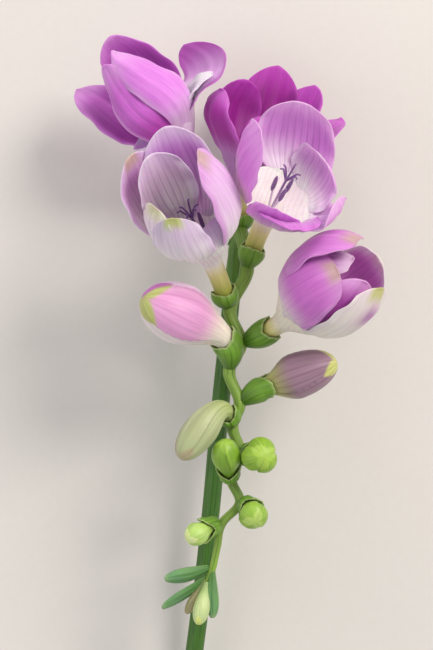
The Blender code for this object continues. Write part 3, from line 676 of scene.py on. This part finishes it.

# For each flower: each face's colour at the base, in the body and at the margin, over what share of the length the
# body colour sets in, and how strong the veins are. Where the margin colour is lighter than the body, it is partly
# painted highlight, the thin rim catching the light. A tepal's own entry changes some of it, and may add a mark at
# its tip (colour, strength) or a patch on its outer face (colour, place along it).
FLOWER_LOOKS = {
    "rear_left": dict(
        outer=(PALE_LILAC, "#BE74C8", "#CA8AD2"), inner=("#C9A0D8", "#A548B0", ORCHID), sets=0.5, vein=0.35,
        own={
            0: dict(inner=("#EFE4F4", "#CB94D4", "#A858AC")),
            1: dict(inner=("#CC6CCE", "#B65ABA", "#D08AD6"), outer=(PALE_LILAC, VIOLET_PINK, ORCHID)),
            2: dict(inner=("#9C3A9C", "#AA56AE", "#C98AD0"), outer=("#C07AC4", "#A850AC", "#CE96D4")),
            # Tepal 3's inner base is deep magenta with painted shade, where the inside of the cup lies in shadow.
            3: dict(outer=("#A83AA2", "#BE62C2", "#D08AD6"), inner=(DEEP_MAGENTA_PAINTED_SHADE, MAGENTA, ORCHID), sets=0.4),
            4: dict(outer=("#DAB6E2", "#D07CD8", "#D895E0"), sets=0.3),
            5: dict(inner=("#F2EEF8", "#EDE6F6", "#E6DCF2"), outer=("#F2EEF8", "#EDE6F6", "#E6DCF2")),
        },
    ),
    "rear_right": dict(
        # The inner base is deep magenta with painted shade deep in the throat.
        outer=("#B277BC", MAGENTA, "#AE46AC"), inner=(DEEP_MAGENTA_PAINTED_SHADE, "#8D1B85", "#A63CA4"), sets=0.35, vein=0.5,
        own={
            0: dict(outer=("#B277BC", "#A03FA2", "#BC62C0"), inner=("#8D1B85", "#993399", "#BB62BE")),
            1: dict(inner=("#8D1B85", "#A83BA8", "#B552B6")),
            4: dict(outer=("#B277BC", "#98258F", "#BC5FBE")),
        },
    ),
    "front_left": dict(
        outer=(WHITE_THROAT, PALE_LILAC, "#E2D2F0"), inner=(WHITE_THROAT, GREY_PINK, "#D8B8E0"),
        sets=0.75, vein=0.8,
        own={
            0: dict(
                outer=(WHITE_THROAT, "#E0BCE6", "#D294D6"), inner=("#B04CAA", "#B77AC0", "#DCC4EA"),
                mark=(TIP_BROWN, 0.7), sets=0.5,
            ),
            1: dict(inner=("#D8BEDC", "#B77AC0", "#DCC4EA"), outer=(WHITE_THROAT, "#B77AC0", "#DCC4EA")),
            2: dict(outer=(WHITE_THROAT, "#D9C7E4", "#E6D8F0"), mark=(TIP_BROWN, 0.8)),
            3: dict(outer=(WHITE_THROAT, "#DCC9DC", "#E2DCC0"), mark=("#C6C392", 0.8)),
            4: dict(outer=(WHITE_THROAT, "#DCC4E2", "#D6BEE0"), mark=(TIP_GREEN, 1.0)),
            5: dict(outer=(WHITE_THROAT, "#E4D6EE", "#D9BFE6"), inner=("#B04CAA", "#9E2C92", "#B04CAA")),
            6: dict(inner=("#E9E2E4", "#C8AFC8", "#DCC6E6")),
        },
    ),
    "front_right": dict(
        outer=(CREAM, "#CE8ED2", "#D698DA"), inner=(WHITE_THROAT, "#CB90D2", "#DFB6E4"), sets=0.5, vein=0.5,
        own={
            0: dict(inner=("#EDDDF0", "#D19CDA", "#E2BEE8"), outer=(CREAM, "#CE8ED2", "#DAA6DE")),
            1: dict(inner=("#F4EAF4", "#D3A2DA", "#E4C4EA")),
            2: dict(inner=("#EBDDEE", "#C486CC", "#DCACE2"), vein=0.65),
            3: dict(outer=(CREAM, "#C87CCC", "#D090D6")),
            4: dict(inner=("#EFDFF2", "#C880CE", "#D294DA"), outer=(CREAM, "#C880CE", "#D294DA")),
            5: dict(inner=("#EFDFF2", "#C67CCC", "#BE6CC4"), outer=(CREAM, "#CA86D0", "#BE6CC4")),
        },
    ),
    "opening": dict(
        outer=(CREAM, "#C47AC6", "#CC86D0"), inner=("#9A3A98", "#A84FA6", "#DDAADF"), sets=0.4, vein=0.45,
        own={
            0: dict(outer=("#C06ABC", "#A64CA4", "#D795D8")),
            1: dict(outer=("#DAB4DE", "#B565B6", "#C87CCA"), mark=(TIP_BROWN, 0.7)),
            2: dict(outer=("#C08ACB", "#C286CA", "#DDB4E2")),
            3: dict(outer=("#E2CFDC", "#BA66BA", "#C880CA"), mark=(TIP_BROWN, 0.7)),
            4: dict(outer=("#D8B4DC", "#CC98D4", "#E4C8EA")),
            5: dict(outer=(CREAM, "#ECE0DC", "#E4D4DA"), mark=(TIP_GREEN, 1.0), patch=("#A863AC", 0.70)),
            6: dict(
                outer=("#E0B8E0", "#D59CD8", "#EACCEC"), inner=("#C878C4", "#DC9CDA", "#F6E2F4"),
                mark=(TIP_BROWN, 0.4),
            ),
        },
    ),
}


def tepal_tint(look, face, s, t):
    """Base to body colour along the tepal, the margin's colour over its outer third, then any patch and tip mark.
    Where the margin colour is lighter, it is partly a painted rim highlight. The fourth channel is how strong the
    veins are: they fade towards the margin and show less on the outer face."""
    base, body, margin = look[face]
    edge = np.maximum(np.abs(s), t)
    colour = blend(base, body, smooth((t - 0.12) / look["sets"]))
    # Painted highlight: a margin colour lighter than the body stands in part for the thin rim catching the light.
    colour = blend(colour, margin, smooth((edge - 0.70) / 0.30))
    if "patch" in look and face == "outer":
        patch, at = look["patch"]
        colour = blend(colour, patch, 0.9 * bump_at(t, at, 0.12) * bump_at(s, 0.25, 0.45))
    if "mark" in look:
        mark, strength = look["mark"]
        where = smooth((t - 0.80) / 0.14) * smooth((0.55 - np.abs(s)) / 0.35)
        colour = blend(colour, mark, strength * where)
    vein = look["vein"] * (0.4 if face == "outer" else 1.0)
    vein = vein * (1.0 - 0.75 * smooth((edge - 0.45) / 0.5))
    return tinted(colour, vein)


def build_tepals(flower_name, finish, slot):
    """One blade for each tepal of the flower, thinner towards its rim."""
    flower, looks = FLOWERS[flower_name], FLOWER_LOOKS[flower_name]
    s, t = np.meshgrid(np.linspace(-1.0, 1.0, 41), np.linspace(0.0, 1.0, 57))
    for index, tepal in enumerate(flower["tepals"]):
        look = {**looks, **looks["own"].get(index, {})}
        points = tepal_points(flower, index, s, t)
        edge = np.maximum(np.abs(s), t)
        thickness = PETAL + (PETAL_RIM - PETAL) * smooth((edge - 0.6) / 0.4)
        grain = stacked(s * tepal[4], 3.0 * index, t * (tepal[3] + SUNK))
        tints = [tepal_tint(look, face, s, t) for face in ("outer", "inner")]
        node = f"bloom_{flower_name}"
        blade(f"tepal_{flower_name}_{index}", points, thickness, grain, tints, (finish, node, slot))


def build_perianth_tube(flower_name, finish, slot):
    """The tube and funnel: up the outside and down the inside of the funnel line, each half a wall from it, with six
    shallow flutes, and closed by a floor."""
    flower, looks = FLOWERS[flower_name], FLOWER_LOOKS[flower_name]
    run, radius, height, slope = funnel_line(flower)
    rings = 49
    up = np.linspace(0.0, 1.0, rings)
    down = np.linspace(1.0, TUBE_FLOOR / run[-1], 45)
    share = np.concatenate([[0.0], up, down, down[-1:]])
    inner = np.arange(len(share)) > rings
    turn = circle(96)
    r, h, a = (np.interp(share * run[-1], run, line) for line in (radius, height, slope))
    half = WALL / 2 + 0.18 * smooth(share * 1.6) - 0.38 * smooth((share - 0.88) / 0.12)
    side = np.where(inner, -1.0, 1.0)
    flutes = 1.0 + 0.018 * smooth(share[:, None] * 2.0) * np.cos(6.0 * turn)
    across = (r + side * half * np.cos(a))[:, None] * flutes
    across[[0, -1]] = 0.0
    rise, around = np.broadcast_arrays((h - side * half * np.sin(a))[:, None], turn)
    points = GrowthAxis(flower).place(across, rise, around)
    grain = stacked(across * np.cos(turn) * 1.5, across * np.sin(turn) * 1.5, (share * run[-1])[:, None])
    wide = flower["narrow"] / run[-1]
    outer = blend(TUBE_GREEN, TUBE_YELLOW, smooth(share / (wide + 0.01)))
    outer = blend(outer, looks["outer"][0], smooth((share - 0.75 * wide) / 0.30))
    inside = blend(TUBE_YELLOW, looks["inner"][0], smooth((share - wide * 0.8) / 0.4))
    colour = np.where(inner[:, None], inside, outer)
    vein = 0.5 * looks["vein"] * smooth((share - wide) / 0.3)
    tint = np.repeat(tinted(colour, vein)[:, None], len(turn), axis=1)
    round_body(f"tube_{flower_name}", points, grain, tint, (finish, f"bloom_{flower_name}", slot))


def build_stamens(flower_name, finish):
    """Style with six forked tips and three stamens, each a filament with a long anther, in the flower's own axis."""
    flower = FLOWERS[flower_name]
    axis = GrowthAxis(flower)
    top = flower["first"] + flower["narrow"] + 0.9 * flower["funnel"]
    foot = flower["first"] + TUBE_FLOOR + 0.3
    branch = (foot + top) / 2
    look = (finish, f"stamens_{flower_name}", "stamen_purple")
    u = np.linspace(0.0, 1.0, 25)

    def thread(part, across, height, turn, radii, colours, dust):
        """A rod through points (distance from the axis, height) at this turn, rounded by a mean of three, with its
        radius and colour spread evenly along it."""
        known = np.linspace(0.0, 1.0, len(height))
        r, h = np.interp(u, known, across), np.interp(u, known, height)
        line = axis.place(r, h, np.full(len(u), math.radians(turn)))
        line = (np.roll(line, 1, 0) + line + np.roll(line, -1, 0))[1:-1] / 3.0
        inside = u[1:-1]
        tint = tinted(blend(*colours, inside), dust)
        thick = np.interp(inside, np.linspace(0, 1, len(radii)), radii)
        rod(part, line, thick, 12, tint, look)

    thread(f"style_{flower_name}", (0, 0), (foot, top + 6.2), 0.0, (0.42, 0.34), ("#E9E2EC", "#8C62A0"), 0.0)
    for k in range(6):
        reach = top + 8.6 + (k % 2)
        height = (top + 5.4, top + 7.4, reach + 0.2, reach)
        spread, violet = (0.0, 1.0, 2.1, 3.2), ("#8A62A0", "#6E4A86")
        thread(f"stigma_{flower_name}_{k}", spread, height, 60.0 * k + 15.0, (0.28, 0.24, 0.2), violet, 0.3)
    for k in range(3):
        turn = 120.0 * k + 45.0
        height = (branch, (branch + top) / 2, top, top + 2.0)
        spread, lilac = (0.0, 1.1, 2.0, 2.3), ("#EEE8F0", "#B79CC4")
        thread(f"filament_{flower_name}_{k}", spread, height, turn, (0.3, 0.24), lilac, 0.0)
        height = (top - 0.4, top + 2.2, top + 5.4)
        radii, violet = (0.3, 0.6, 0.62, 0.55, 0.22), ("#77588C", "#8A6A9C")
        thread(f"anther_{flower_name}_{k}", (2.2, 2.35, 2.6), height, turn, radii, violet, 1.0)


def bud_radius(bud, share):
    """Radius of a closed bud at this share of its length: it rises smoothly from the foot's radius to the belly's,
    then falls as sqrt(1 - down^2.1) to a rounded tip."""
    radius, belly, foot = bud["radius"], bud["belly"], bud["foot"]
    up = np.clip(share / belly, 0.0, 1.0)
    down = np.clip((share - belly) / (1.0 - belly), 0.0, 1.0)
    rising = foot + (radius - foot) * smooth(up * 0.93 + 0.04)
    falling = radius * np.sqrt(np.clip(1.0 - down**2.1, 0.0, 1.0))
    return np.where(share < belly, rising, falling)


# Colours of each bud's three tepals as (foot, body, tip), how strong their lines are, and how deep the grooves
# between them are as a share of the radius.
BUD_LOOKS = {
    "left_large": dict(
        tepals=[(CREAM, "#E6D2E8", "#B465AC"), (CREAM, "#EADFDF", TIP_GREEN), (CREAM, "#E0A2D0", TIP_GREEN)],
        line=0.3,
    ),
    "right_large": dict(tepals=[("#B4B56E", "#9A7C8E", "#C9D07C")] * 3, line=0.6),
    "left_middle": dict(tepals=[("#A3B56E", "#AEBA8A", "#B3AB86")] * 3, line=0.3),
    "right_small": dict(tepals=[("#7FA83A", "#8DB43C", "#A8CA55")] * 3, line=0.5, groove=0.15),
    "front_small": dict(tepals=[("#7FA83A", "#86AE3C", "#9CC24C")] * 3, line=0.5),
    "right_round": dict(tepals=[("#86AC40", "#93B94A", "#B4D070")] * 3, line=0.5),
    "left_small": dict(tepals=[("#9CC05A", "#B4D478", "#DCEBA6")] * 3, line=0.4),
    "front": dict(tepals=[("#9DB67A", "#C3D59A", "#D5E08A")] * 3, line=0.5),
    "rear": dict(tepals=[("#8A9A66", "#A8A078", "#A79474")] * 3, line=0.5),
}


def build_bud(name, bud, look_name, look):
    """A closed bud: a spindle of three tepals that overlap and wind a little, the edge of each a small step proud of
    the next. Its radius is the bud's times 1 + step + midrib - groove. The tip's colour starts nearer the foot at
    the tepals' edges than on their midribs."""
    t = np.concatenate([[0.0], 1.0 - (1.0 - np.linspace(0.0, 1.0, 90)) ** 1.25])
    rise, around = np.meshgrid(t, circle(144), indexing="ij")
    third = 2.0 * math.pi / 3.0
    place = np.mod(around - math.radians(bud["seam"]) + 0.5 * rise, 2.0 * math.pi) / third
    tepal = np.minimum(np.floor(place).astype(int), 2)
    sector = place - tepal
    step = (0.5 - sector) * 0.11 * smooth(rise / 0.35)
    rib = 0.012 * bump_at(sector, 0.5, 0.07) * smooth(rise / 0.3) * smooth((1.0 - rise) / 0.2)
    colours = BUD_LOOKS[look_name]
    valley = bump_at(sector, 0.0, 0.2) + bump_at(sector, 1.0, 0.2)
    groove = colours.get("groove", 0.0) * valley * smooth(rise / 0.3)
    across = bud_radius(bud, np.maximum(rise, 1e-4)) * (1.0 + step + rib - groove)
    across[[0, -1]] = 0.0
    points = GrowthAxis(bud).place(across, bud["first"] + bud["length"] * rise, around)
    wide = bud["radius"]
    grain = stacked(wide * np.cos(around), wide * np.sin(around) + 5.0 * tepal, bud["length"] * rise)
    stages = np.array([[linear(c) for c in row] for row in colours["tepals"]])[tepal]
    colour = blend(stages[..., 0, :], stages[..., 1, :], smooth((rise - 0.12) / 0.35))
    point = 0.95 - 0.16 * np.abs(2.0 * sector - 1.0) ** 1.4
    colour = blend(colour, stages[..., 2, :], smooth((rise - point) / 0.05))
    seam = bump_at(sector, 0.0, 0.04) + bump_at(sector, 1.0, 0.04)
    colour = colour * (1.0 - 0.12 * seam[..., None])
    round_body(name, points, grain, tinted(colour, colours["line"]), look)


def body_radius(plant, height):
    """Radius of the bud or of the flower's tube at this height along its axis."""
    if "tepals" in plant:
        _, radius, line, _ = funnel_line(plant)
        return np.interp(height, line, radius + WALL / 2)
    share = np.clip((height - plant["first"]) / plant["length"], 0.0, 1.0)
    return bud_radius(plant, np.maximum(share, 1e-4))


def build_bract_cup(name, plant, finish):
    """The ovary in its pair of bracts: a cup that hugs the body above it, with ten soft nerves. Its rim rises to a
    point on two sides, as |cos turn|^1.6, and is a little ragged."""
    length, turned = plant["bract"]
    foot = plant["first"] - CLEAR
    top = BRACT_START + length
    low_rim = min(foot + 1.0, top - 0.8)
    share = np.concatenate([[0.0], np.linspace(0.0, 1.0, 40), np.linspace(0.0, 1.0, 14), [1.0]])
    inner = (np.arange(len(share)) > 40)[:, None]
    turn = circle(80)
    lobe = np.abs(np.cos(turn - math.radians(turned))) ** 1.6
    ragged = 0.12 * np.sin(9.0 * turn) + 0.08 * np.sin(17.0 * turn + 1.0)
    rim = low_rim + (top - low_rim) * lobe + ragged
    up = share[:, None]
    h = np.where(inner, rim + (foot - rim) * up, BRACT_START + (rim - BRACT_START) * up)
    hug = body_radius(plant, h) + CLEAR
    swell = np.sin(np.clip((h - BRACT_START) / (foot - BRACT_START), 0.0, 1.0) * math.pi / 2) ** 0.8
    wall = BRACT_WALL - 0.35 * smooth((up - 0.75) / 0.25)
    nerves = 0.05 * np.cos(10.0 * turn) * smooth(up * 2.0)
    r = np.where(inner, hug, NECK + (hug + wall + nerves - NECK) * swell)
    r[[0, -1]] = 0.0
    points = GrowthAxis(plant).place(r, h, np.broadcast_to(turn, r.shape))
    grain = stacked(3.0 * np.cos(turn), 3.0 * np.sin(turn), h)
    colour = blend("#55792B", "#6E9A34", smooth(np.broadcast_to(up, h.shape) * 1.4))
    colour = blend(colour, "#B5C68A", 0.75 * smooth((np.where(inner, 1.0, up) - 0.90) / 0.10))
    round_body(name, points, grain, tinted(colour, 0.8), (finish, "stem", "stem_green"))


def build_tip_bract(name, bract, finish):
    """A bare bract: a boat-shaped pointed leaf along the line from root to tip. Its middle is arched as a half sine,
    and its sides fall away from the keel with the square of the distance."""
    s, t = np.meshgrid(np.linspace(-1.0, 1.0, 33), np.linspace(0.0, 1.0, 49))
    root, tip = (np.array(bract[k], float) for k in ("root", "tip"))
    way = tip - root
    length = np.linalg.norm(way)
    way = way / length
    side = np.cross(way, (0.0, 0.0, 1.0))
    side /= np.linalg.norm(side)
    out = np.cross(side, way)
    roll = math.radians(bract["roll"])
    side, out = side * math.cos(roll) + out * math.sin(roll), out * math.cos(roll) - side * math.sin(roll)
    rounding = np.sqrt(np.clip(1.0 - 0.97 * t**3.0, 0.0, 1.0))
    width = bract["half"] * (0.35 + 0.65 * np.sin(np.clip(t * 1.25, 0.0, 1.0) * math.pi / 2)) * rounding
    keel = bract["arch"] * np.sin(t * math.pi) - 0.55 * width * s * s + 0.12 * bump_at(s, 0.0, 0.12)
    points = root + way * (length * t)[..., None] + side * (s * width)[..., None] + out * keel[..., None]
    grain = stacked(s * bract["half"], 0.0, t * length)
    colour = blend("#4F7F3C", "#6E9E6C", smooth(t * 1.1))
    colour = blend(colour, "#A9BE98", 0.5 * smooth((np.maximum(np.abs(s), t) - 0.86) / 0.14))
    tint = tinted(colour, 1.0)
    thickness = 0.55 - 0.25 * smooth((np.abs(s) - 0.5) / 0.5)
    blade(name, points, thickness, grain, [tint, tint], (finish, "stem", "stem_green"))


def build_stem(finish):
    """The stem and flowering axis as one rod, a tenth thicker at each node and darker towards the cut end."""
    route = through(STEM_ROUTE, 520)
    line, radii = route[:, :3], route[:, 3].copy()
    nodes = np.array([p["node"] for p in [*FLOWERS.values(), *BUDS.values()]])
    near = np.linalg.norm(line[:, None] - nodes[None], axis=2).min(axis=1)
    radii *= 1.0 + 0.10 * bump_at(near, 0.0, 1.6)
    share = np.linspace(0.0, 1.0, len(line))
    colour = blend("#3E6A22", "#7FA043", smooth((share - 0.55) / 0.2))
    rod("stem_axis", line, radii, 36, tinted(colour, 0.9), (finish, "stem", "stem_green"), ridges=0.012)


def build_freesia():
    """Every piece of the plant, with its material and the CAD node that it replaces. Buds longer than
    20 mm are coloured, and the others are still green."""
    lilac = petal_tissue("Freesia_tepal_lilac_fresh", "#A884B8", 1.9, 0.5)
    magenta = petal_tissue("Freesia_tepal_magenta_fresh", "#7A3A80", 1.7, 0.48)
    bud_skin = petal_tissue("Freesia_bud_tepal_closed", "#A88A9C", 2.2, 0.42)
    green_bud = green_tissue("Freesia_bud_unripe_waxy", "#8FB060", 0.5, 0.36, 0.25)
    stem_skin = green_tissue("Freesia_stem_waxy", "#6E8C4A", 0.35, 0.42)
    bract_skin = green_tissue("Freesia_bract_green", "#74924C", 0.4, 0.4)
    leaf_skin = green_tissue("Freesia_leaf_bract_bloomed", "#7C9C70", 0.3, 0.5)
    pollen = pollen_tissue("Freesia_stamen_violet", "#B9A6C8")

    build_stem(stem_skin)
    for name, plant in [*FLOWERS.items(), *BUDS.items()]:
        build_bract_cup(f"bract_cup_{name}", plant, bract_skin)
    for name, bract in TIP_BRACTS.items():
        build_tip_bract(f"tip_bract_{name}", bract, leaf_skin)
    for name, bud in TIP_BUDS.items():
        build_bud(f"tip_bud_{name}", bud, name, (green_bud, "stem", "stem_green"))
    for name in FLOWERS:
        finish, slot = (magenta, "petal_magenta") if name == "rear_right" else (lilac, "petal_mauve")
        build_perianth_tube(name, finish, slot)
        build_tepals(name, finish, slot)
        build_stamens(name, pollen)
    for name, bud in BUDS.items():
        coloured = bud["length"] > 20.0
        finish, slot = (bud_skin, "bud_pink") if coloured else (green_bud, "bud_green")
        build_bud(f"closed_bud_{name}", bud, name, (finish, f"bud_{name}", slot))


def build_stage():
    """A plain pale table, soft studio lights and the camera straight above, square to the drawing."""
    mesh = bpy.data.meshes.new("table_top")
    half = 3.0
    corners = [(-half, -half, 0), (half, -half, 0), (half, half, 0), (-half, half, 0)]
    mesh.from_pydata(corners, [], [(0, 1, 2, 3)])
    mesh.materials.append(matt_board("Table_board_matt_paint", "#D9D7D3"))
    placed("table_top", mesh)

    world = bpy.data.worlds.new("studio")
    world.use_nodes = True
    tree = world.node_tree
    wire(tree, tree.nodes["Background"], {"Color": rgba("#E6E3E1"), "Strength": 0.74})
    bpy.context.scene.world = world

    # Round softboxes that face the middle of the flowers: name, place and width in metres, power in watts, colour.
    middle = np.array([0.0, 0.03, 0.03])
    boxes = [
        ("key", (0.60, 0.55, 0.75), 0.45, 8.2, "#FFF6EC"),
        ("fill", (-0.7, -0.1, 0.6), 0.8, 1.5, "#F1EEF4"),
        ("rim", (-0.2, 0.9, 0.35), 0.5, 2.0, "#FFF4F6"),
    ]
    for name, place, size, power, colour in boxes:
        light = bpy.data.lights.new(name, "AREA")
        light.shape = "DISK"
        light.size = size
        light.energy = power
        light.color = linear(colour)
        lamp = placed(name, light)
        away = np.array(place) - middle
        lamp.location = place
        lamp.rotation_euler = (0.0, math.acos(away[2] / np.linalg.norm(away)), math.atan2(away[1], away[0]))

    camera = bpy.data.cameras.new("above")
    camera.sensor_fit = "VERTICAL"
    camera.sensor_height = 24.0
    camera.lens = camera.sensor_height * SEEN_AT / (PICTURE_HEIGHT * MM_PER_PIXEL)
    camera.clip_end = 20.0
    eye = placed("above", camera)
    eye.location = row_frame(np.array([0.0, 0.0, CAMERA_HEIGHT]))
    eye.rotation_euler = Euler((math.radians(REST_TURN[0]), math.radians(REST_TURN[1]), 0.0))
    bpy.context.scene.camera = eye
    bpy.context.scene.view_settings.view_transform = "Standard"


build_freesia()
build_stage()
